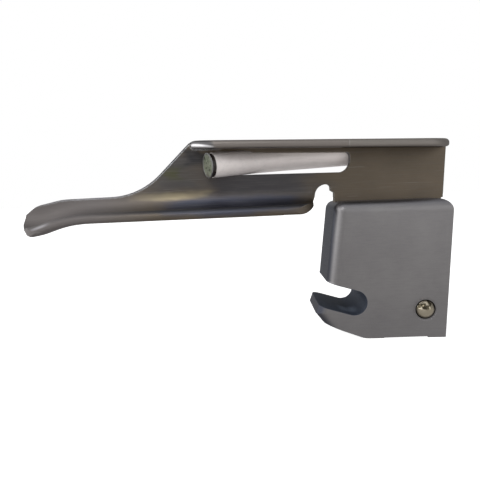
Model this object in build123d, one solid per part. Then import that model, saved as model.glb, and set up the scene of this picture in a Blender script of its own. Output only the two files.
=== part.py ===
from build123d import *
import math
import os

# Fibre-optic laryngoscope blade with a hook-on heel, infant size.  Millimetres.
# Frame: the origin is the axis of the hook's round seat, half way through the heel.
# +X runs along the blade from its tip to its heel, +Z points away from the handle,
# and the open side of the channel, which faces the user's right hand, is -Y.

# ---- driving dimensions -------------------------------------------------------------
HEEL_WIDTH = 12.8            # across the heel block, between the handle's cheeks
PIN_SEAT_R = 2.57            # round seat of the hook, for the handle's hinge pin
SLOT_ANGLE = 16.5            # tilt of the hook's slot, its mouth turned up and forward
BLOCK_TOP = 20.6
BLOCK_BOTTOM = -7.6
BLOCK_EDGE_R = 2.2           # rounding of the block's top and front edges
REAR_CORNER_R = 2.4
REAR_FOOT_X = 18.4           # rear face at the bottom of the heel
REAR_SLOPE = 0.031           # the rear face leans back as it rises

SHEET = 1.6                  # thickness of the blade's steel
SHEET_BEND_R = 5.4           # outside of the bend between web and spatula
LIP_Y = -7.6                 # free edge of the spatula
LIP_HEIGHT = 2.1             # the free edge is thickened into a rounded bead
LIP_UNDER_R = 0.7
LIP_OVER_R = 1.3
SPATULA_TIP_X = -72.4
SPATULA_HEEL_X = -7.5
SPATULA_BOTTOM = 18.05       # underside of the spatula where its tip starts to bend
SPATULA_SLOPE = 0.0085       # it rises this much towards the heel
TIP_BEND_X = -53.0           # the tip bends down from here
TIP_BEND_R = 30.0
TIP_BEND_ANGLE = 19.0
TIP_UPTURN_R = 14.0          # after the bend the very tip curves up again
WEB_HEIGHT = 18.0            # height of the formed strip, before its top is cut
WEB_REAR_STEP = 0.35         # above the block the web reaches this much further back
TANG_X = -2.8                # front edge of the tang that enters the block
TANG_BOTTOM = 14.5

FLANGE_LIP_Y = -7.0          # free edge of the top flange
FLANGE_LIP_TOP = 32.57       # height of its upper edge above the origin
FLANGE_THICKNESS = 1.57
FLANGE_SLOPE = 0.0341        # the flange falls towards the heel
FLANGE_TILT = 0.105          # and droops from the web towards its lip
FLANGE_FRONT_X = -32.6
FLANGE_FRONT_R = 6.0         # plan view of its front corner
FLANGE_REAR_R = 5.5
FLANGE_OVER_R = 0.85         # rounding of its upper edge, and of its lower edge
FLANGE_UNDER_R = 0.5
RAIL_SEAM_X = -1.1           # joint between the front flange and the heel rail

GUIDE_R = 2.55               # outside of the light guide's steel tube
BUNDLE_R = 2.25
GUIDE_END = Vector(-29.0, -4.0, 28.85)
GUIDE_CROSSED = Vector(-16.0, 3.45, 30.0)
GUIDE_CORNER = Vector(8.0, 3.45, 30.95)
GUIDE_FOOT_Z = -2.0
GUIDE_RADII = [22, 7.5]      # bends of the guide, after the web and over the block
GUIDE_FIT = 0.02             # gap between the guide and the bore that holds it
RIM = 0.15                   # the guide's front ring
BOND = 0.95                  # the dark bonding ring ends here
BOND_STEP = 0.15             # the bonding ring is set in below the tube's outside
FACE_STEP = 0.05             # the fibres stop this far inside the ring
FERRULE_BORE = 1.5
FERRULE_FOOT = BLOCK_BOTTOM + 0.05
SEAL_R = 0.35
SEAL_Z = -5.0

SCREW_R = 1.5
SCREW_Z = 8.0
SCREW_POINT = 0.4            # length and step of the cone at the screw's point
SCREW_SINK = 0.8             # the screw's head lies this deep in the rear face
SOCKET_R = 0.87
SOCKET_DEPTH = 2.0
PIN_R = 1.0
PIN_INNER_Y = -3.0           # the tang pins stop short of the near face
PIN_PLACES = [(1.4, 17.6), (14.4, 17.6)]

BALL_R = 2.0
BALL_X = 14.2
BALL_Z = -1.65
BALL_SINK = 0.8              # centre of the ball below the side face, at rest
SLEEVE_R = 2.3
SLEEVE_BORE_R = 2.06
SLEEVE_MOUTH_R = 1.9
SLEEVE_DEPTH = 5.5
SLEEVE_FLOOR = 0.6
SPRING_R = 1.35
SPRING_WIRE_R = 0.14
SPRING_TURNS = 4
SPRING_GAP = 0.03

HALF_WIDTH = HEEL_WIDTH / 2
WEB_NEAR = -SHEET / 2
WEB_FAR = SHEET / 2
CUT = 40.0                   # length of a cutting tool that passes right through


# ---- helpers ------------------------------------------------------------------------
def rounded_face(corners):
    """A closed outline whose corners are (a, b, radius); radius 0 stays sharp."""
    face = make_face(Polyline(*[(a, b) for a, b, _ in corners], close=True))
    for a, b, radius in corners:
        if radius:
            corner = face.vertices().sort_by_distance((a, b, 0))[0]
            face = fillet(corner, radius)
    return face


def side_prism(corners, low_y=-CUT, high_y=CUT):
    """An outline drawn in X and Z, thick from low_y to high_y."""
    section = Plane(origin=(0, low_y, 0), x_dir=(1, 0, 0), z_dir=(0, -1, 0))
    return extrude(section * rounded_face(corners), amount=low_y - high_y)


def plan_prism(corners):
    """An outline drawn in X and Y, thick in Z beyond the whole part."""
    return extrude(Pos(0, 0, -CUT) * rounded_face(corners), amount=3 * CUT)


def rod(radius, start, end, bore=0.0):
    """A straight round bar, or a ring where it has a bore."""
    start, end = Vector(*start), Vector(*end)
    section = Circle(radius) - Circle(bore) if bore else Circle(radius)
    return extrude(Plane(origin=start, z_dir=end - start) * section,
                   amount=(end - start).length)


def cone(start, start_r, end, end_r):
    """A tapered round bar."""
    start, end = Vector(*start), Vector(*end)
    ends = [Plane(origin=start, z_dir=end - start) * Circle(start_r),
            Plane(origin=end, z_dir=end - start) * Circle(end_r)]
    return loft(ends)


def rear_x(z):
    """The common rear face of the heel block and the web, at height z."""
    return REAR_FOOT_X + REAR_SLOPE * (z - BLOCK_BOTTOM)


def flange_top(x, y):
    """The sloping, tilted top face of the flange."""
    return FLANGE_LIP_TOP - FLANGE_SLOPE * x + FLANGE_TILT * (y - FLANGE_LIP_Y)


# ---- blade: spatula and web formed from one strip, with the front flange ------------
def strip_section():
    """Cross-section of web, bend, floor and beaded lip, drawn in Y and height."""
    bend_y = WEB_FAR - SHEET_BEND_R
    inner_r = SHEET_BEND_R - SHEET
    slant = math.sqrt(0.5)
    crest_y = LIP_Y + LIP_OVER_R
    outline = [
        Line((bend_y, 0), (LIP_Y + LIP_UNDER_R, 0)),
        RadiusArc((LIP_Y + LIP_UNDER_R, 0), (LIP_Y, LIP_UNDER_R), LIP_UNDER_R),
        Line((LIP_Y, LIP_UNDER_R), (LIP_Y, LIP_HEIGHT - LIP_OVER_R)),
        RadiusArc((LIP_Y, LIP_HEIGHT - LIP_OVER_R), (crest_y, LIP_HEIGHT), LIP_OVER_R),
        Line((crest_y, LIP_HEIGHT), (crest_y + 1.4, SHEET)),
        Line((crest_y + 1.4, SHEET), (bend_y, SHEET)),
        ThreePointArc((bend_y, SHEET),
                      (bend_y + inner_r * slant, SHEET_BEND_R - inner_r * slant),
                      (WEB_NEAR, SHEET_BEND_R)),
        Line((WEB_NEAR, SHEET_BEND_R), (WEB_NEAR, WEB_HEIGHT)),
        Line((WEB_NEAR, WEB_HEIGHT), (WEB_FAR, WEB_HEIGHT)),
        Line((WEB_FAR, WEB_HEIGHT), (WEB_FAR, SHEET_BEND_R)),
        ThreePointArc((WEB_FAR, SHEET_BEND_R),
                      (bend_y + SHEET_BEND_R * slant, SHEET_BEND_R * (1 - slant)),
                      (bend_y, 0)),
    ]
    return make_face(outline)


def strip_path():
    """Run of the strip's underside, from beyond the tip to the rear of the heel."""
    tilt = math.atan(SPATULA_SLOPE)
    steep = tilt + math.radians(TIP_BEND_ANGLE)

    def on_bend(angle):
        return Vector(TIP_BEND_X - TIP_BEND_R * (math.sin(angle) - math.sin(tilt)), 0,
                      SPATULA_BOTTOM + TIP_BEND_R * (math.cos(angle) - math.cos(tilt)))

    def on_upturn(angle):
        low = on_bend(steep)
        return Vector(low.X - TIP_UPTURN_R * (math.sin(steep) - math.sin(angle)), 0,
                      low.Z + TIP_UPTURN_R * (math.cos(steep) - math.cos(angle)))

    tip_angle = math.radians(-24)
    upturn = ThreePointArc(on_upturn(tip_angle), on_upturn(0), on_upturn(steep))
    bend = ThreePointArc(on_bend(steep), on_bend((steep + tilt) / 2), on_bend(tilt))
    length = 74
    heel = on_bend(tilt) + Vector(length, 0, length * SPATULA_SLOPE)
    return Wire([upturn, bend, Line(on_bend(tilt), heel)])


def formed_strip():
    path = strip_path()
    start = Plane(origin=path @ 0, x_dir=(0, 1, 0), z_dir=path % 0)
    return sweep(start * strip_section(), path=path)


def side_outline():
    """Side view of the blade: web, S-shaped front edge, spatula, notch and tang."""
    web_top = 40.0
    return [
        (-71.95, 17.4, 1.2), (-68.2, 16.5, 2.5), (-65.4, 15.75, 2.0), (-62, 15.6, 0),
        (-62, 10, 0),
        (-14, 10, 0), (-14, 18.45, 0), (SPATULA_HEEL_X + 0.1, 18.45, 4.0),
        (SPATULA_HEEL_X + 0.95, 24.2, 2.3), (-3.6, 24.2, 0.8), (-3.55, 22.9, 0),
        (TANG_X, 22.4, 0), (TANG_X, TANG_BOTTOM, 0),
        (rear_x(TANG_BOTTOM), TANG_BOTTOM, 0), (rear_x(BLOCK_TOP), BLOCK_TOP, 0),
        (rear_x(BLOCK_TOP) + WEB_REAR_STEP, BLOCK_TOP, 0),
        (rear_x(web_top) + WEB_REAR_STEP, web_top, 0),
        (-24, web_top, 0), (-24, flange_top(-24, WEB_FAR), 0),
        (-32.5, flange_top(-32.5, WEB_FAR), 3.5),
        (-44.3, 23.35, 16.0), (-61.5, 23.1, 14.0), (-67.6, 21.85, 6.0),
        (-70.8, 19.35, 2.5),
    ]


def plan_outline():
    """Top view of the blade: the spatula's round tip, its heel end, and the web."""
    return [
        (-65.9, LIP_Y, 3.2), (SPATULA_HEEL_X, LIP_Y, 4.2),
        (SPATULA_HEEL_X, WEB_NEAR, 0), (24, WEB_NEAR, 0), (24, WEB_FAR, 0),
        (SPATULA_TIP_X, WEB_FAR, 2.4),
    ]


def flange_section(x):
    """Cross-section of the flange at x, drawn in Y and Z."""
    plane = Plane(origin=(x, 0, 0), x_dir=(0, 1, 0), z_dir=(1, 0, 0))
    return plane * make_face(Polyline(
        (FLANGE_LIP_Y, flange_top(x, FLANGE_LIP_Y)),
        (FLANGE_LIP_Y, flange_top(x, FLANGE_LIP_Y) - FLANGE_THICKNESS),
        (WEB_FAR, flange_top(x, WEB_FAR) - FLANGE_THICKNESS),
        (WEB_FAR, flange_top(x, WEB_FAR)), close=True))


def flange_strip():
    """The whole flange, rounded at its front, along its lip and at its rear."""
    length = 60
    strip = extrude(flange_section(FLANGE_FRONT_X - 2), amount=length,
                    dir=(1, 0, -FLANGE_SLOPE))
    rear = rear_x(flange_top(RAIL_SEAM_X, 0))
    strip = strip & plan_prism([
        (FLANGE_FRONT_X, FLANGE_LIP_Y, FLANGE_FRONT_R), (rear, FLANGE_LIP_Y, FLANGE_REAR_R),
        (rear, WEB_FAR, 0), (FLANGE_FRONT_X, WEB_FAR, 0),
    ])
    for index, radius in ((-1, FLANGE_OVER_R), (0, FLANGE_UNDER_R)):
        face = strip.faces().filter_by(broad_face).sort_by(Axis.Z)[index]
        strip = fillet([edge for edge in face.edges() if free_edge(edge)], radius)
    return strip


def broad_face(face):
    """True for the flange's upper and lower faces."""
    return abs(face.normal_at().Z) > 0.9


def free_edge(edge):
    """True for the flange's edges that lie away from its far side."""
    return (edge @ 0.5).Y < WEB_FAR - 0.01


def above_flange():
    """Everything higher than the flange's top face, as a cutting tool."""
    x = FLANGE_FRONT_X - 8
    plane = Plane(origin=(x, 0, 0), x_dir=(0, 1, 0), z_dir=(1, 0, 0))
    low_y, high_y = -12, 6
    section = plane * make_face(Polyline(
        (low_y, flange_top(x, low_y)), (high_y, flange_top(x, high_y)),
        (high_y, CUT + 10), (low_y, CUT + 10), close=True))
    return extrude(section, amount=80, dir=(1, 0, -FLANGE_SLOPE))


def web_window():
    """Long window in the web that the light guide passes through."""
    return side_prism([
        (-28.3, 26.95, 2.0), (0.5, 26.58, 2.3), (0.5, 30.72, 0.9), (-28.3, 31.7, 1.5),
    ], WEB_NEAR - 1.5, WEB_FAR + 1.5)


def guide_path(start_back=0.0):
    """Centre line of the light guide, from its face to the foot of its tube."""
    along = (GUIDE_CROSSED - GUIDE_END).normalized()
    foot = Vector(GUIDE_CORNER.X, GUIDE_CORNER.Y, GUIDE_FOOT_Z)
    return FilletPolyline(GUIDE_END + along * start_back, GUIDE_CROSSED,
                          GUIDE_CORNER, foot, radius=GUIDE_RADII)


def along_guide(radius, start_back, bore=0.0):
    """A round bar or tube that follows the light guide."""
    path = guide_path(start_back)
    section = Circle(radius) - Circle(bore) if bore else Circle(radius)
    return sweep(Plane(origin=path @ 0, z_dir=path % 0) * section, path=path)


def rear_web():
    """Flat rear part of the web, down to the foot of its tang."""
    low_x = TANG_X - 1.0
    high_x, high_z = 24, 26
    return side_prism([(low_x, TANG_BOTTOM, 0), (high_x, TANG_BOTTOM, 0),
                       (high_x, high_z, 0), (low_x, high_z, 0)], WEB_NEAR, WEB_FAR)


def make_blade():
    strip = formed_strip() & plan_prism(plan_outline())
    strip = strip + rear_web()
    flange = flange_strip()
    front = flange & side_prism([(-60, 20, 0), (RAIL_SEAM_X, 20, 0),
                                 (RAIL_SEAM_X, 40, 0), (-60, 40, 0)])
    rail = flange - front
    blade = strip - above_flange() - flange
    blade = blade + front
    blade = blade & side_prism(side_outline())
    blade = blade - web_window() - along_guide(GUIDE_R + GUIDE_FIT, -3)
    return blade.solids().sort_by(SortBy.VOLUME)[-1], rail


# ---- heel block ---------------------------------------------------------------------
def slot_point(forward, across):
    """A point of the hook's slot, along it towards the mouth and across it."""
    angle = math.radians(SLOT_ANGLE)
    return (-forward * math.cos(angle) + across * math.sin(angle),
            forward * math.sin(angle) + across * math.cos(angle))


def hook_slot():
    """The slot behind the hook: a round seat and straight walls to its mouth."""
    reach = 14
    walls = side_prism([(*slot_point(0, -PIN_SEAT_R), 0), (*slot_point(0, PIN_SEAT_R), 0),
                        (*slot_point(reach, PIN_SEAT_R), 0),
                        (*slot_point(reach, -PIN_SEAT_R), 0)])
    return walls + rod(PIN_SEAT_R, (0, -CUT, 0), (0, CUT, 0))


def block_outline(foot_r=0.0, rear_r=0.0, hook_r=0.0):
    """Side view of the block and its hook; the three radii round its sharp corners."""
    front_top_x = -3.55
    return [
        (2.2, BLOCK_BOTTOM, foot_r), (REAR_FOOT_X, BLOCK_BOTTOM, 0),
        (rear_x(BLOCK_TOP), BLOCK_TOP, rear_r), (front_top_x, BLOCK_TOP, 1.8),
        (-5.2, 4.5, 0), (-7.6, -2.45, 0), (-6.0, -4.5, hook_r),
    ]


def make_block():
    block = side_prism(block_outline(), -HALF_WIDTH, HALF_WIDTH)
    for side in (-1, 1):
        face = block.faces().sort_by(Axis.Y)[-1 if side > 0 else 0]
        edges = [edge for edge in face.edges() if soft_edge(edge)]
        block = fillet(edges, BLOCK_EDGE_R)
    block = block & side_prism(block_outline(5.0, REAR_CORNER_R, 1.4))
    block = block - hook_slot() - foot_relief() - tang_slot()
    guide_x, guide_y = GUIDE_CORNER.X, GUIDE_CORNER.Y
    block = block - rod(GUIDE_R + GUIDE_FIT, (guide_x, guide_y, -20), (guide_x, guide_y, 26))
    block = block - rod(SCREW_R, (guide_x, guide_y, SCREW_Z), (30, guide_y, SCREW_Z))
    for x, z in PIN_PLACES:
        block = block - rod(PIN_R, (x, PIN_INNER_Y, z), (x, CUT, z))
    for side in (-1, 1):
        block = block - rod(SLEEVE_R, (BALL_X, side * HALF_WIDTH, BALL_Z),
                            (BALL_X, side * (HALF_WIDTH - SLEEVE_DEPTH), BALL_Z))
    return block.solids().sort_by(SortBy.VOLUME)[-1]


def soft_edge(edge):
    """True for the side edges that are rounded: the top, the front and the hook's nose."""
    middle = edge @ 0.5
    under_hook = middle.X > -5.9 and middle.Z < -4
    on_rear = middle.X > rear_x(middle.Z) - 0.3
    return not under_hook and not on_rear


def foot_relief():
    """Shallow relief that leaves a land at each end of the block's foot."""
    return side_prism([(6.0, BLOCK_BOTTOM - 1, 0), (14.9, BLOCK_BOTTOM - 1, 0),
                       (14.9, BLOCK_BOTTOM + 0.25, 0), (6.0, BLOCK_BOTTOM + 0.1, 0)])


def tang_slot():
    """Slot in the block's top for the web's tang, open at the rear."""
    return side_prism([(TANG_X, TANG_BOTTOM, 0), (30, TANG_BOTTOM, 0),
                       (30, BLOCK_TOP + 1, 0), (TANG_X, BLOCK_TOP + 1, 0)],
                      WEB_NEAR, WEB_FAR)


# ---- light guide --------------------------------------------------------------------
def make_light_guide():
    along = (GUIDE_CROSSED - GUIDE_END).normalized()
    x, y = GUIDE_CORNER.X, GUIDE_CORNER.Y
    bundle = along_guide(BUNDLE_R, FACE_STEP)
    bundle = bundle + rod(FERRULE_BORE, (x, y, GUIDE_FOOT_Z), (x, y, FERRULE_FOOT + 0.1))
    ferrule = rod(GUIDE_R, (x, y, FERRULE_FOOT), (x, y, GUIDE_FOOT_Z), FERRULE_BORE)
    groove_half = SEAL_R + 0.01
    groove = rod(GUIDE_R + 1, (x, y, SEAL_Z - groove_half), (x, y, SEAL_Z + groove_half),
                 GUIDE_R - 2 * SEAL_R)
    seal = Pos(x, y, SEAL_Z) * Torus(GUIDE_R - SEAL_R, SEAL_R)
    return {
        "light_tube": along_guide(GUIDE_R, BOND, BUNDLE_R),
        "fibre_bundle": bundle,
        "distal_ferrule": rod(GUIDE_R, GUIDE_END, GUIDE_END + along * RIM, BUNDLE_R),
        "bond_ring": rod(GUIDE_R - BOND_STEP, GUIDE_END + along * RIM,
                         GUIDE_END + along * BOND, BUNDLE_R),
        "input_ferrule": ferrule - groove,
        "ferrule_seal": seal,
    }


# ---- fasteners ----------------------------------------------------------------------
def make_set_screw():
    """Set screw that holds the light guide, driven in from the rear of the block."""
    y = GUIDE_CORNER.Y
    head_x = rear_x(SCREW_Z) - SCREW_SINK
    point_x = GUIDE_CORNER.X + GUIDE_R + GUIDE_FIT
    shank_x = point_x + SCREW_POINT
    screw = rod(SCREW_R, (head_x, y, SCREW_Z), (shank_x, y, SCREW_Z))
    screw = screw + cone((shank_x, y, SCREW_Z), SCREW_R,
                         (point_x, y, SCREW_Z), SCREW_R - SCREW_POINT)
    head = Plane(origin=(head_x, y, SCREW_Z), z_dir=(-1, 0, 0))
    return screw - extrude(head * RegularPolygon(SOCKET_R, 6), amount=SOCKET_DEPTH)


def make_tang_pins():
    """Two dowels through the tang, flush with the far side of the block."""
    return Compound(children=[rod(PIN_R, (x, PIN_INNER_Y, z), (x, HALF_WIDTH, z))
                              for x, z in PIN_PLACES])


# ---- detents: a sprung ball in each side of the heel --------------------------------
def make_detent(side):
    """Sleeve, ball and spring of one detent; side is -1 or +1 along Y."""
    def at(depth):
        return (BALL_X, side * (HALF_WIDTH - depth), BALL_Z)

    mouth_depth = 0.35
    sleeve = rod(SLEEVE_R, at(0), at(SLEEVE_DEPTH))
    sleeve = sleeve - rod(SLEEVE_BORE_R, at(mouth_depth), at(SLEEVE_DEPTH - SLEEVE_FLOOR))
    sleeve = sleeve - cone(at(0), SLEEVE_MOUTH_R, at(mouth_depth), SLEEVE_BORE_R)
    ball = Pos(*at(BALL_SINK)) * Sphere(BALL_R)

    touch = math.sqrt((BALL_R + SPRING_WIRE_R) ** 2 - SPRING_R ** 2)
    spring_top = BALL_SINK + touch + SPRING_GAP
    spring_foot = SLEEVE_DEPTH - SLEEVE_FLOOR - SPRING_WIRE_R - SPRING_GAP
    height = spring_foot - spring_top
    coil = Helix(pitch=height / SPRING_TURNS, height=height, radius=SPRING_R,
                 center=at(spring_top), direction=(0, -side, 0))
    wire = Plane(origin=coil @ 0, z_dir=coil % 0) * Circle(SPRING_WIRE_R)
    spring = sweep(wire, path=coil, is_frenet=True)
    return sleeve, ball, spring


# ---- write one file per piece -------------------------------------------------------
def main():
    blade, rail = make_blade()
    parts = {"blade_body": blade, "top_rail": rail, "heel_block": make_block()}
    parts.update(make_light_guide())
    parts["guide_set_screw"] = make_set_screw()
    parts["tang_pins"] = make_tang_pins()
    for name, side in (("right", -1), ("left", 1)):
        sleeve, ball, spring = make_detent(side)
        parts[f"plunger_sleeve_{name}"] = sleeve
        parts[f"detent_ball_{name}"] = ball
        parts[f"detent_spring_{name}"] = spring
    parts["blade_body"] = parts["blade_body"] - parts["tang_pins"]
    os.makedirs("parts", exist_ok=True)
    for name, shape in parts.items():
        export_step(shape, os.path.join("parts", name + ".step"))


main()
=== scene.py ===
import math

import bmesh
import bpy
from mathutils import Matrix, Vector


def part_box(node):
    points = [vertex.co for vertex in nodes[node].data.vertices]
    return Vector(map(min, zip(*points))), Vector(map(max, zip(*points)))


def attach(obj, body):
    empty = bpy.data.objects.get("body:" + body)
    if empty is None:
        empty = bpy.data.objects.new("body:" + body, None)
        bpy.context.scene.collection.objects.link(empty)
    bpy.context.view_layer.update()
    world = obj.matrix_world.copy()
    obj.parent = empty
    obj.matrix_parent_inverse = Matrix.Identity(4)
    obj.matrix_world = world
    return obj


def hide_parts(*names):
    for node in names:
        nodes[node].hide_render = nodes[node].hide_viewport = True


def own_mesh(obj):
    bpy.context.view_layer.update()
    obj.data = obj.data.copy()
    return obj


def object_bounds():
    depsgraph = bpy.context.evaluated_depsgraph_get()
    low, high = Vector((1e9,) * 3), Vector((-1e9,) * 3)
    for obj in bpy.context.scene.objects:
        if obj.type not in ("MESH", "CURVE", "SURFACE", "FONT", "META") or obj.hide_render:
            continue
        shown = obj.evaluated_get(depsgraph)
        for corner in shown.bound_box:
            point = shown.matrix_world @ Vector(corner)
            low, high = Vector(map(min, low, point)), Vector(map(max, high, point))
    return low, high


# Looks of the fibre-optic laryngoscope blade.  Metres, in the CAD model's own frame: the
# tip points to -X, the channel opens to -Y, and the handle hangs from the hook towards -Z.
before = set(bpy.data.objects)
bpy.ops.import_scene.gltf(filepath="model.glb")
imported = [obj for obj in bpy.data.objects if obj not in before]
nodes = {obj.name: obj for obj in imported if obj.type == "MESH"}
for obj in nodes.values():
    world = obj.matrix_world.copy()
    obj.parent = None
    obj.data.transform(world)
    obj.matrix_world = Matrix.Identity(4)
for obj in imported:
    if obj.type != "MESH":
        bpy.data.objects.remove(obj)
cad_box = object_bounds()
MM = 0.001

# Sizes that the looks share with the CAD model.
HOOK_SLOT_TILT = math.radians(16.5)
HOOK_WALL_R = 2.6 * MM           # a hair more than the radius of the hook's seat
SLEEVE_BORE_R = 2.06 * MM

# The detent springs, drawn anew inside the boxes of the CAD model's own springs.
SPRING_WIRE_R = 0.14 * MM
SPRING_TURNS = 6.0
SPRING_CLOSED_TURNS = 0.9        # these lie flat at each end
SPRING_STEPS = 240
SPRING_WIRE_SIDES = 10

# Patches of the blade steel, most of them painted shade and one a painted highlight: X from, X
# to, fade, Z from, Z to, fade (mm), how strong and which tone.
SHADE_AND_TINT_PATCHES = [
    # painted shade on the web under the flange
    (-31, -6, 5.0, 22.0, 29.0, 1.8, 0.9, (0.098, 0.096, 0.106)),
    # painted shade, blue-black, in the trough under the flange
    (-38, -12, 4.0, 19.2, 22.3, 0.9, 0.9, (0.092, 0.102, 0.145)),
    # painted highlight: a warm light band along the bend
    (-46, -32, 3.0, 22.2, 23.6, 0.5, 0.85, (0.42, 0.36, 0.24)),
    # a greyer patch and an olive patch on the web
    (-42, -32, 3.0, 23.8, 31.5, 1.2, 0.8, (0.115, 0.113, 0.118)),
    (-39, -34, 1.6, 26.5, 28.8, 1.0, 0.75, (0.12, 0.122, 0.062)),
    # painted shadow under the flange's front end
    (-35, -28, 1.6, 29.3, 33.0, 0.8, 0.85, (0.055, 0.056, 0.062)),
]


def grey(value):
    """A neutral tone."""
    return (value, value, value)


# ---- node helpers -------------------------------------------------------------------
class NodeTree:
    """Short ways to add nodes.  A value is a number or another node's output."""

    def __init__(self, tree, coords):
        self.tree = tree
        self.coords = self.new("ShaderNodeTexCoord").outputs[coords]

    def new(self, kind, **settings):
        node = self.tree.nodes.new(kind)
        for key, value in settings.items():
            setattr(node, key, value)
        return node

    def put(self, node, key, value):
        """Sets a socket to a number or tuple, or links it to another node's output."""
        if isinstance(value, bpy.types.NodeSocket):
            self.tree.links.new(value, node.inputs[key])
        else:
            node.inputs[key].default_value = value

    def math(self, operation, *values):
        node = self.new("ShaderNodeMath", operation=operation)
        for index, value in enumerate(values):
            self.put(node, index, value)
        return node.outputs[0]

    def times(self, product, *factors):
        """The product of two or more values."""
        for factor in factors:
            product = self.math("MULTIPLY", product, factor)
        return product

    def vector(self, operation, *values):
        node = self.new("ShaderNodeVectorMath", operation=operation)
        for index, value in enumerate(values):
            self.put(node, index, value)
        return node

    def range(self, value, low, high, to_low=0.0, to_high=1.0, smooth=False):
        """Maps low..high to to_low..to_high, and stays there beyond both ends."""
        node = self.new("ShaderNodeMapRange", clamp=True)
        node.interpolation_type = "SMOOTHSTEP" if smooth else "LINEAR"
        for index, number in enumerate((value, low, high, to_low, to_high)):
            self.put(node, index, number)
        return node.outputs[0]

    def opposite(self, value):
        """1 where the value is 0, and 0 where it is 1."""
        return self.range(value, 0.0, 1.0, 1.0, 0.0)

    def between(self, value, low, high, fade):
        """1 where value lies from low to high, with soft ends."""
        rise = self.range(value, low - fade, low + fade, smooth=True)
        fall = self.range(value, high - fade, high + fade, 1.0, 0.0, smooth=True)
        return self.times(rise, fall)

    def axis(self, name):
        """One coordinate: metres on an object, or part of a direction in the world."""
        node = self.new("ShaderNodeSeparateXYZ")
        self.put(node, 0, self.coords)
        return node.outputs[name]

    def ray_is(self, kind):
        """1 for rays of this kind, such as Camera or Diffuse."""
        return self.new("ShaderNodeLightPath").outputs[f"Is {kind} Ray"]

    def mix(self, factor, a, b):
        """A colour between two others."""
        node = self.new("ShaderNodeMix", data_type="RGBA")
        self.put(node, 0, factor)
        for index, colour in ((6, a), (7, b)):
            is_output = isinstance(colour, bpy.types.NodeSocket)
            self.put(node, index, colour if is_output else (*colour, 1.0))
        return node.outputs[2]

    def mix_values(self, factor, a, b):
        """A number between two others."""
        node = self.new("ShaderNodeMix", data_type="FLOAT")
        for index, value in ((0, factor), (2, a), (3, b)):
            self.put(node, index, value)
        return node.outputs[0]

    def mix_vectors(self, factor, a, b):
        """A vector between two others."""
        node = self.new("ShaderNodeMix", data_type="VECTOR")
        for index, value in ((0, factor), (4, a), (5, b)):
            self.put(node, index, value)
        return node.outputs[1]


class Shader(NodeTree):
    """A material under construction, with one Principled surface."""

    def __init__(self, name, metallic=1.0, roughness=0.4):
        self.material = bpy.data.materials.new(name)
        self.material.use_nodes = True
        super().__init__(self.material.node_tree, "Object")
        self.surface = self.tree.nodes["Principled BSDF"]
        self.put(self.surface, "Metallic", metallic)
        self.put(self.surface, "Roughness", roughness)

    def stretched(self, scale, shift=(0, 0, 0)):
        """Object coordinates, multiplied along each axis and then shifted."""
        node = self.new("ShaderNodeMapping")
        self.put(node, "Vector", self.coords)
        self.put(node, "Scale", scale)
        self.put(node, "Location", shift)
        return node.outputs[0]

    def noise(self, scale, detail, roughness, shift=(0, 0, 0)):
        """Noise with about this many bumps a metre, as one number or one for each axis."""
        if not isinstance(scale, tuple):
            scale = (scale, scale, scale)
        node = self.new("ShaderNodeTexNoise")
        self.put(node, "Vector", self.stretched(scale, shift))
        self.put(node, "Scale", 1.0)
        self.put(node, "Detail", detail)
        self.put(node, "Roughness", roughness)
        return node.outputs["Fac"]

    def facing(self, name):
        """One component of the surface's normal."""
        node = self.new("ShaderNodeSeparateXYZ")
        self.put(node, 0, self.new("ShaderNodeTexCoord").outputs["Normal"])
        return node.outputs[name]

    def away_from(self, centre):
        """The vector from a point of the object to here."""
        return self.vector("SUBTRACT", self.coords, centre).outputs[0]

    def radius_about(self, centre):
        """Distance from the line along Y through a point of the object."""
        flat = self.vector("MULTIPLY", self.away_from(centre), (1, 0, 1)).outputs[0]
        return self.vector("LENGTH", flat).outputs["Value"]

    def rounded_edges(self, radius):
        """(normals rounded over the edges, how much of an edge each point is)."""
        bevel = self.new("ShaderNodeBevel", samples=6)
        self.put(bevel, "Radius", radius)
        true = self.new("ShaderNodeNewGeometry").outputs["Normal"]
        agreement = self.vector("DOT_PRODUCT", bevel.outputs[0], true).outputs["Value"]
        return bevel.outputs[0], self.range(agreement, 0.995, 0.86, smooth=True)

    def relief(self, height, distance, strength, normal=None):
        """Normals tilted by a height map, on top of other normals where they are given."""
        bump = self.new("ShaderNodeBump")
        self.put(bump, "Height", height)
        self.put(bump, "Distance", distance)
        self.put(bump, "Strength", strength)
        if normal is not None:
            self.put(bump, "Normal", normal)
        return bump.outputs[0]

    def finish(self, colour, roughness, normal):
        self.put(self.surface, "Base Color", colour)
        self.put(self.surface, "Roughness", roughness)
        self.put(self.surface, "Normal", normal)
        return self.material


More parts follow.
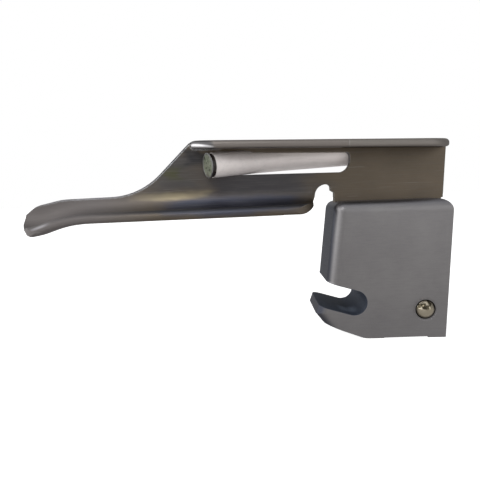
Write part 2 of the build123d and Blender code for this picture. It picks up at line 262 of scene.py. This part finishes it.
# ---- heel block ---------------------------------------------------------------------
def blasted_steel():
    """Fine even grain; edges burnished and painted brighter as highlights; painted shade in
    front, on upward faces and inside the hook, with a painted reflection in the hook's seat.
    """
    s = Shader("heel_blasted_steel")
    normal, edge = s.rounded_edges(0.22 * MM)
    cloud = s.noise(130, detail=4.0, roughness=0.6)
    grain = s.noise(5200, detail=2.0, roughness=0.6)
    draw = s.noise((420, 900, 3200), detail=3.0, roughness=0.55)

    tone = s.mix(s.range(cloud, 0.3, 0.7), (0.29, 0.281, 0.289), (0.34, 0.331, 0.336))
    tone = s.mix(s.range(grain, 0.35, 0.75, 0.0, 0.3), tone, (0.42, 0.408, 0.41))
    tone = s.mix(s.range(draw, 0.45, 0.8, 0.0, 0.25), tone, (0.235, 0.227, 0.235))
    # Edges burnished, and painted brighter as edge highlights.
    tone = s.mix(s.times(edge, 0.4), tone, (0.6, 0.59, 0.61))
    # Painted shade: faces towards the tip, and the nose's rounded corners below the slot,
    # painted dark blue-grey.
    tone = s.mix(block_front(s), tone, (0.055, 0.06, 0.08))
    # Painted shade: faces that look upwards are painted darker, which dims their highlights.
    roof_shade = s.range(s.facing("Z"), 0.25, 0.8, 0.0, 0.5, smooth=True)
    tone = s.mix(roof_shade, tone, (0.18, 0.182, 0.215))
    # Painted shade inside the hook's slot, with a paler painted reflection in its seat.
    inside = inside_hook(s)
    tone = s.mix(inside, tone, hook_shade_tone(s))

    rough = s.range(grain, 0.3, 0.7, 0.34, 0.5)
    rough = s.math("SUBTRACT", rough, s.times(edge, 0.1))
    rough = s.math("ADD", rough, s.times(inside, 0.2))
    s.put(s.surface, "Metallic", s.math("SUBTRACT", 1.0, s.times(inside, 0.9)))
    height = s.math("ADD", grain, s.times(draw, 0.6))
    return s.finish(tone, rough, s.relief(height, 0.004 * MM, 0.6, normal))


def block_front(s):
    """How much a point faces the tip, for the painted shade there.  Below the slot, rounded
    corners count as well.
    """
    most = 0.92
    face = s.range(s.facing("X"), -0.6, -0.97, 0.0, most, smooth=True)
    corner = s.range(s.facing("X"), -0.12, -0.7, 0.0, most, smooth=True)
    below_slot = s.range(s.axis("Z"), 1.5 * MM, -0.5 * MM)
    return s.math("MAXIMUM", face, s.times(below_slot, corner))


def inside_hook(s):
    """1 on the walls of the hook's slot: all within its radius of the slot's line."""
    x = s.axis("X")
    z = s.axis("Z")
    cos = math.cos(HOOK_SLOT_TILT)
    sin = math.sin(HOOK_SLOT_TILT)
    along = s.math("SUBTRACT", s.times(z, sin), s.times(x, cos))
    across = s.math("ADD", s.times(z, cos), s.times(x, sin))
    behind = s.math("MINIMUM", along, 0.0)
    reach = s.math("SQRT", s.math("ADD", s.times(behind, behind), s.times(across, across)))
    return s.range(reach, HOOK_WALL_R + 0.1 * MM, HOOK_WALL_R, smooth=True)


def hook_shade_tone(s):
    """Painted shade inside the hook: blue-black, with a painted reflection as a paler patch in
    the bottom of the hook's seat.
    """
    patch_y = s.between(s.axis("Y"), -4.2 * MM, -1.2 * MM, fade=1.0 * MM)
    patch_x = s.between(s.axis("X"), -2.4 * MM, 1.0 * MM, fade=0.7 * MM)
    bottom = s.range(s.axis("Z"), 0.0, -1.0 * MM)
    tone = s.mix(patch_y, (0.036, 0.047, 0.072), (0.11, 0.135, 0.18))
    return s.mix(s.times(patch_x, bottom), (0.03, 0.04, 0.062), tone)


# ---- blade steel --------------------------------------------------------------------
def satin_sheet(name, dark, light, flange_tone):
    """Steel brushed along its length, with tints, a paler flange, edges burnished and painted
    brighter, and painted shade, painted highlights and painted dark rims.
    """
    s = Shader(name)
    normal, edge = s.rounded_edges(0.28 * MM)
    cloud = s.noise((60, 110, 110), detail=4.0, roughness=0.6)
    brush = s.noise((150, 3600, 3600), detail=4.0, roughness=0.65)
    scratch = s.noise((90, 5200, 5200), detail=2.0, roughness=0.7, shift=(3.1, 7.7, 1.3))
    distal = s.range(s.axis("X"), -34 * MM, -56 * MM, smooth=True)
    flange = s.range(s.axis("Z"), 28.0 * MM, 28.6 * MM, smooth=True)
    near = s.range(s.axis("Y"), -1.0 * MM, -2.0 * MM, smooth=True)

    tone = s.mix(s.range(cloud, 0.3, 0.7), dark, light)
    # Painted shade, a painted highlight band and plain tone patches.
    tone = shade_and_tint_patches(s, tone)
    tone = s.mix(distal, tone, (0.225, 0.207, 0.202))
    tone = s.mix(s.times(flange, near), tone, flange_tone)
    # Painted shade on the flange's front end, with a painted highlight band across it.
    tone, polished_highlight_band = flange_end_shade_and_highlight(s, tone, flange)
    # Painted shade: a dark line along the lip's crest.
    tone = s.mix(lip_crest_shade(s, flange, distal), tone, (0.075, 0.078, 0.092))
    tone = s.mix(s.range(brush, 0.45, 0.85, 0.0, 0.16), tone, (0.412, 0.4, 0.388))
    tone = s.mix(s.range(scratch, 0.66, 0.72, 0.0, 0.2), tone, grey(0.5))
    # Painted highlight near the tip.
    tone = s.mix(tip_glint(s), tone, (0.5, 0.49, 0.51))
    # Painted shade: a dark rim on the edges, strongest towards the tip.
    painted_dark_rim = s.times(edge, s.range(distal, 0.0, 1.0, 0.0, 0.8))
    tone = s.mix(painted_dark_rim, tone, (0.05, 0.05, 0.056))
    # Edges burnished, and painted brighter as edge highlights, away from the tip.
    bright_edge = s.times(edge, s.range(distal, 0.0, 1.0, 0.12, 0.0))
    tone = s.mix(bright_edge, tone, grey(0.95))
    # Painted highlight line and painted dark rim along the web's front edge.
    tone, normal = front_edge(s, tone, normal, s.opposite(near))

    rough = s.range(brush, 0.3, 0.7, 0.42, 0.56)
    rough = s.math("SUBTRACT", rough, s.times(edge, 0.08))
    rough = s.math("ADD", rough, s.times(distal, 0.12))
    rough = s.math("SUBTRACT", rough, s.times(polished_highlight_band, 0.1))
    height = s.math("ADD", brush, s.times(scratch, 0.5))
    return s.finish(tone, rough, s.relief(height, 0.003 * MM, 0.4, normal))


def shade_and_tint_patches(s, tone):
    """Patches with wavy edges along the blade: painted shade, a painted highlight and plain
    tone patches.
    """
    wave = s.noise((90, 90, 220), detail=3.0, roughness=0.55, shift=(5.0, 2.0, 9.0))
    drift = s.range(wave, 0.3, 0.7, -1.6 * MM, 1.6 * MM)
    x = s.math("ADD", s.axis("X"), s.times(drift, 2.0))
    z = s.math("ADD", s.axis("Z"), s.times(drift, 0.35))
    for low_x, high_x, fade_x, low_z, high_z, fade_z, strength, colour in SHADE_AND_TINT_PATCHES:
        along = s.between(x, low_x * MM, high_x * MM, fade_x * MM)
        up = s.between(z, low_z * MM, high_z * MM, fade_z * MM)
        tone = s.mix(s.times(along, up, strength), tone, colour)
    return tone


def flange_end_shade_and_highlight(s, tone, flange):
    """The flange's round front end, painted dark as shade, with a painted highlight band across
    it where the metal is also more polished: (tone, the band).
    """
    end = s.times(flange, s.range(s.facing("X"), -0.04, -0.2, smooth=True))
    # Painted shade on the front end.
    tone = s.mix(end, tone, (0.15, 0.145, 0.15))
    # Painted highlight: a bright slanting band.
    slant = s.math("ADD", s.axis("Z"), s.times(s.axis("X"), 0.2))
    polished_highlight_band = s.times(end, s.between(slant, 25.6 * MM, 26.9 * MM, fade=0.2 * MM))
    return s.mix(polished_highlight_band, tone, (0.93, 0.92, 0.94)), polished_highlight_band


def lip_crest_shade(s, flange, distal):
    """Painted shade: the dark line along the top of the spatula's rounded lip, weaker at the
    tip.
    """
    upward = s.range(s.facing("Z"), 0.3, 0.75, 0.0, 0.85, smooth=True)
    lip = s.range(s.axis("Y"), -4.6 * MM, -5.6 * MM, smooth=True)
    fading = s.range(distal, 0.0, 1.0, 1.0, 0.2)
    return s.times(upward, lip, s.opposite(flange), fading)


def tip_glint(s):
    """A painted highlight: a short bright streak on the lip near the tip."""
    along = s.between(s.axis("X"), -65 * MM, -62 * MM, fade=1.2 * MM)
    slanted = s.between(s.facing("Z"), 0.35, 0.7, fade=0.15)
    lip = s.range(s.axis("Y"), -5.2 * MM, -6.2 * MM, smooth=True)
    return s.times(along, slanted, lip, 0.8)


def front_edge(s, tone, normal, web):
    """The web's S-shaped front edge: rounded, with a painted highlight line inside a painted
    dark rim.
    """
    ahead = s.range(s.axis("X"), -26 * MM, -29 * MM)
    above = s.range(s.axis("Z"), 21.5 * MM, 23.5 * MM)
    here = s.times(ahead, above, web)
    rounded, edge = s.rounded_edges(0.85 * MM)
    # Painted highlight: a bright line along the rounded edge.
    tone = s.mix(s.times(s.range(edge, 0.03, 0.35), here), tone, (0.88, 0.9, 0.95))
    # Painted shade: a dark rim at the edge itself.
    tone = s.mix(s.times(s.range(edge, 0.7, 0.92), here), tone, (0.03, 0.03, 0.034))
    return tone, s.mix_vectors(here, normal, rounded)


# ---- light guide, detents and small fittings ----------------------------------------
def polished_steel(name, dark, light, rough=(0.1, 0.2), metallic=1.0):
    """Bright tube, ring or wire with faint draw lines."""
    s = Shader(name, metallic)
    normal, edge = s.rounded_edges(0.06 * MM)
    cloud = s.noise(260, detail=3.0, roughness=0.6)
    lines = s.noise((300, 2600, 2600), detail=3.0, roughness=0.6)
    tone = s.mix(s.range(cloud, 0.3, 0.7), dark, light)
    tone = s.mix(s.range(lines, 0.5, 0.8, 0.0, 0.25), tone, grey(0.45))
    tone = s.mix(s.times(edge, 0.5), tone, grey(0.85))
    gloss = s.range(lines, 0.3, 0.7, *rough)
    return s.finish(tone, gloss, s.relief(lines, 0.002 * MM, 0.4, normal))


def turned_steel(name, centre, rough):
    """Turned or ground metal with fine rings round an axis that runs along Y."""
    s = Shader(name)
    ring_pitch = 0.09 * MM
    normal, edge = s.rounded_edges(0.05 * MM)
    rings = s.math("SINE", s.times(s.radius_about(centre), 2 * math.pi / ring_pitch))
    spots = s.noise(1500, detail=3.0, roughness=0.6)
    tone = s.mix(s.range(spots, 0.35, 0.7), (0.3, 0.29, 0.28), (0.375, 0.3625, 0.35))
    tone = s.mix(s.times(edge, 0.5), tone, grey(0.7))
    gloss = s.range(spots, 0.3, 0.7, rough, rough + 0.14)
    return s.finish(tone, gloss, s.relief(rings, 0.002 * MM, 0.35, normal))


def sleeve_steel(name, centre):
    """Turned sleeve, blasted with the block, with painted shade in the gap at its mouth."""
    s = Shader(name)
    normal, edge = s.rounded_edges(0.05 * MM)
    spots = s.noise(3000, detail=3.0, roughness=0.6)
    tone = s.mix(s.range(spots, 0.35, 0.7), (0.25, 0.243, 0.25), (0.33, 0.322, 0.33))
    tone = s.mix(s.times(edge, 0.25), tone, grey(0.6))
    radius = s.radius_about(centre)
    # Painted shade: a dark ring just inside the bore.
    gap_shade = s.range(radius, SLEEVE_BORE_R, SLEEVE_BORE_R - 0.1 * MM, smooth=True)
    tone = s.mix(gap_shade, tone, (0.02, 0.018, 0.014))
    rough = s.range(spots, 0.3, 0.7, 0.36, 0.5)
    return s.finish(tone, rough, s.relief(spots, 0.003 * MM, 0.5, normal))


def ball_steel(name, centre):
    """Polished bearing ball, shaded as a true sphere, with painted reflection: dark spots above
    its middle.
    """
    s = Shader(name)
    smear = s.noise(700, detail=3.0, roughness=0.6)
    tone = s.mix(s.range(smear, 0.35, 0.7), (0.5, 0.445, 0.34), (0.62, 0.56, 0.45))
    height = s.math("SUBTRACT", s.axis("Z"), centre[2])
    # Painted reflection: dark spots on the upper half, where the ball mirrors dark things.
    upper = s.range(height, 0.0, 0.5 * MM, smooth=True)
    spots = s.noise(1300, detail=1.0, roughness=0.4, shift=(0.35, 0.0, 0.2))
    spots = s.range(spots, 0.5, 0.56, 0.0, 0.9, smooth=True)
    tone = s.mix(s.times(upper, spots), tone, (0.05, 0.04, 0.02))
    rough = s.range(smear, 0.3, 0.7, 0.07, 0.15)
    sphere = s.vector("NORMALIZE", s.away_from(centre)).outputs[0]
    return s.finish(tone, rough, s.relief(smear, 0.001 * MM, 0.2, sphere))


def fibre_face():
    """Ground end of the fibre bundle: tiny fibres in uneven green and grey patches."""
    s = Shader("fibre_bundle_face", metallic=0.0)
    s.put(s.surface, "Specular IOR Level", 0.6)
    s.put(s.surface, "Coat Weight", 0.6)
    s.put(s.surface, "Coat Roughness", 0.12)
    cells = s.new("ShaderNodeTexVoronoi")
    s.put(cells, "Vector", s.stretched((11000, 11000, 11000)))
    s.put(cells, "Scale", 1.0)
    fibre = s.range(cells.outputs["Distance"], 0.1, 0.6, 1.0, 0.0)
    patch = s.noise(1500, detail=4.0, roughness=0.7)
    tint = s.noise(700, detail=2.0, roughness=0.5, shift=(4.0, 1.0, 2.0))
    tone = s.mix(s.range(patch, 0.35, 0.65), (0.07, 0.082, 0.06), (0.36, 0.40, 0.28))
    tone = s.mix(s.range(tint, 0.45, 0.7, 0.0, 0.7), tone, (0.26, 0.25, 0.21))
    tone = s.mix(s.range(fibre, 0.0, 1.0, 0.35, 0.0), tone, (0.03, 0.035, 0.03))
    rough = s.range(patch, 0.3, 0.7, 0.2, 0.4)
    return s.finish(tone, rough, s.relief(fibre, 0.004 * MM, 0.4))


def soft_black(name, tone, rough, grain):
    """Rubber or dark adhesive with a fine uneven skin."""
    s = Shader(name, metallic=0.0)
    speck = s.noise(grain, detail=4.0, roughness=0.6)
    worn_tone = tuple(v * 1.9 for v in tone)
    mixed = s.mix(s.range(speck, 0.3, 0.7), tone, worn_tone)
    gloss = s.range(speck, 0.3, 0.7, *rough)
    return s.finish(mixed, gloss, s.relief(speck, 0.01 * MM, 0.4))


# ---- which piece has which material -------------------------------------------------
def paint(node, material):
    piece = nodes[node]
    for slot in piece.material_slots:
        slot.material = material
    if not piece.material_slots:
        piece.data.materials.append(material)


def centre_of(node):
    low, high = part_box(node)
    return tuple((Vector(low) + Vector(high)) / 2)


def paint_all():
    paint("blade_body", satin_sheet(
        "blade_satin_steel", (0.154, 0.129, 0.098), (0.2, 0.164, 0.126), (0.3, 0.27, 0.25)))
    paint("top_rail", satin_sheet(
        "rail_satin_steel", (0.165, 0.138, 0.104), (0.215, 0.176, 0.134), (0.31, 0.285, 0.262)))
    paint("heel_block", blasted_steel())
    paint("light_tube", polished_steel(
        "guide_polished_steel", (0.86, 0.8, 0.785), (0.94, 0.885, 0.87), rough=(0.35, 0.48),
        metallic=0.25))
    paint("distal_ferrule", polished_steel(
        "ring_polished_steel", grey(0.3), grey(0.4), rough=(0.3, 0.4)))
    paint("input_ferrule", polished_steel("ferrule_polished_steel", grey(0.5), grey(0.62)))
    paint("fibre_bundle", fibre_face())
    paint("bond_ring", soft_black("dark_adhesive", (0.016, 0.012, 0.011), (0.18, 0.3), 2500))
    paint("ferrule_seal", soft_black("seal_rubber", grey(0.012), (0.5, 0.7), 3500))
    paint("guide_set_screw", turned_steel("screw_steel", centre_of("guide_set_screw"), 0.28))
    paint("tang_pins", turned_steel("pin_steel", centre_of("tang_pins"), 0.25))
    for side in ("right", "left"):
        sleeve = f"plunger_sleeve_{side}"
        ball = f"detent_ball_{side}"
        paint(sleeve, sleeve_steel(f"sleeve_steel_{side}", centre_of(sleeve)))
        paint(ball, ball_steel(f"ball_steel_{side}", centre_of(ball)))


# ---- springs: closed end coils ------------------------------------------------------
def coil_line(low, high):
    """Points of the wire's centre line in a box, each with its outward direction."""
    middle = (low + high) / 2
    coil_r = (high.x - low.x) / 2 - SPRING_WIRE_R
    start_y = low.y + SPRING_WIRE_R
    end_y = high.y - SPRING_WIRE_R
    line = []
    for index in range(SPRING_STEPS + 1):
        turn = SPRING_TURNS * index / SPRING_STEPS
        rise = (turn - SPRING_CLOSED_TURNS) / (SPRING_TURNS - 2 * SPRING_CLOSED_TURNS)
        rise = min(max(rise, 0.0), 1.0)
        angle = 2 * math.pi * turn
        out = Vector((math.cos(angle), 0, math.sin(angle)))
        centre = Vector((middle.x, start_y + (end_y - start_y) * rise, middle.z))
        line.append((centre + out * coil_r, out))
    return line


def wire_mesh(name, line):
    """A round wire along the line, closed at both ends."""
    mesh = bmesh.new()
    loops = []
    for centre, out in line:
        loop = []
        for k in range(SPRING_WIRE_SIDES):
            angle = 2 * math.pi * k / SPRING_WIRE_SIDES
            offset = math.cos(angle) * out + Vector((0, math.sin(angle), 0))
            loop.append(mesh.verts.new(centre + SPRING_WIRE_R * offset))
        loops.append(loop)
    for first, second in zip(loops, loops[1:]):
        for k in range(SPRING_WIRE_SIDES):
            after = (k + 1) % SPRING_WIRE_SIDES
            mesh.faces.new((first[k], first[after], second[after], second[k]))
    mesh.faces.new(loops[0][::-1])
    mesh.faces.new(loops[-1])
    bmesh.ops.recalc_face_normals(mesh, faces=mesh.faces)
    data = bpy.data.meshes.new(name)
    mesh.to_mesh(data)
    mesh.free()
    for face in data.polygons:
        face.use_smooth = True
    return data


def spring_piece(side):
    """One detent spring.  It stands on its sleeve's floor."""
    node = f"detent_spring_{side}"
    low, high = (Vector(corner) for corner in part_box(node))
    data = wire_mesh(f"spring_{side}", coil_line(low, high))
    spring = bpy.data.objects.new(f"spring_{side}", data)
    bpy.context.scene.collection.objects.link(spring)
    data.materials.append(polished_steel(
        f"spring_wire_{side}", grey(0.3), grey(0.42), rough=(0.2, 0.3)))
    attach(spring, "blade")
    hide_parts(node)
    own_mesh(spring)


# ---- floor, light and camera --------------------------------------------------------
def floor_plane():
    """A plain pale floor just under the foot of the heel that glows: evenly pale where seen,
    dimmer where metal mirrors it, brighter in front and bright at the front left; the light it
    spreads is brighter still.
    """
    half = 1.2
    level = cad_box[0][2] - 0.02 * MM
    corners = [(-half, -half, level), (half, -half, level), (half, half, level),
               (-half, half, level)]
    data = bpy.data.meshes.new("floor")
    data.from_pydata(corners, [], [(0, 1, 2, 3)])
    floor = bpy.data.objects.new("floor", data)
    bpy.context.scene.collection.objects.link(floor)
    s = Shader("floor_pale", metallic=0.0, roughness=0.9)
    behind = s.range(s.axis("Y"), -0.06, 0.08, smooth=True)
    left = s.range(s.axis("X"), -0.05, -0.2, smooth=True)
    glow = s.mix(behind, (0.4, 0.39, 0.38), (0.28, 0.28, 0.29))
    glow = s.mix(s.times(left, s.opposite(behind)), glow, grey(1.0))
    glow = s.mix(s.ray_is("Diffuse"), glow, (1.1, 1.08, 1.06))
    seen = s.ray_is("Camera")
    s.put(s.surface, "Base Color", s.mix(seen, grey(0.05), grey(0.9)))
    s.put(s.surface, "Emission Color", s.mix(seen, glow, grey(0.85)))
    s.put(s.surface, "Emission Strength", 1.0)
    data.materials.append(s.material)


def studio_world():
    """A white backdrop; the surroundings that the metal mirrors are brightest at the left."""
    world = bpy.data.worlds.new("studio")
    bpy.context.scene.world = world
    world.use_nodes = True
    w = NodeTree(world.node_tree, "Generated")
    front_to_back = w.range(w.axis("Y"), -0.4, 0.6, 0.34, 0.3, smooth=True)
    left = w.range(w.axis("X"), -0.85, -0.5, 1.3, 0.0, smooth=True)
    overhead = w.range(w.axis("Z"), 0.5, 1.0, 0.0, 0.04, smooth=True)
    glow = w.math("ADD", w.math("ADD", front_to_back, left), overhead)
    back = world.node_tree.nodes["Background"]
    w.put(back, "Strength", w.mix_values(w.ray_is("Camera"), glow, 1.0))
    w.put(back, "Color", (1, 1, 1, 1))


def soft_light(name, place, aim, size, power):
    """A rectangular light, in metres and watts, turned towards aim."""
    data = bpy.data.lights.new(name, "AREA")
    data.shape = "RECTANGLE"
    data.size, data.size_y = size
    data.energy = power
    light = bpy.data.objects.new(name, data)
    bpy.context.scene.collection.objects.link(light)
    light.location = place
    away = Vector(place) - Vector(aim)
    light.rotation_euler = away.to_track_quat("Z", "Y").to_euler()


def place_camera():
    """A close view of the open side, from the height of the channel and a little downwards."""
    place = Vector((-19.247, -82.4, 23.435)) * MM
    forward = Vector((-0.04672, 0.99079, -0.12706)).normalized()
    roll = math.radians(2.2)
    data = bpy.data.cameras.new("camera")
    data.sensor_width = 36.0
    data.lens = 28.5
    data.clip_start = 0.005
    camera = bpy.data.objects.new("camera", data)
    bpy.context.scene.collection.objects.link(camera)
    level = forward.cross(Vector((0, 0, 1))).normalized()
    upright = level.cross(forward)
    right = level * math.cos(roll) - upright * math.sin(roll)
    up = upright * math.cos(roll) + level * math.sin(roll)
    turn = Matrix((right, up, -forward)).transposed()
    camera.matrix_world = Matrix.Translation(place) @ turn.to_4x4()
    bpy.context.scene.camera = camera


paint_all()
for spring_side in ("right", "left"):
    spring_piece(spring_side)
floor_plane()
studio_world()
soft_light("key", place=(0.02, -0.16, 0.34), aim=(-0.02, 0, 0.02), size=(0.4, 0.25),
           power=0.12)
soft_light("strip", place=(-0.115, -0.216, 0.218), aim=(-0.04, 0, 0.022),
           size=(0.08, 0.1), power=0.12)
soft_light("fill", place=(0.2, -0.3, 0.1), aim=(-0.01, 0, 0.02), size=(0.3, 0.3),
           power=0.15)
place_camera()
bpy.context.scene.view_settings.view_transform = "Standard"
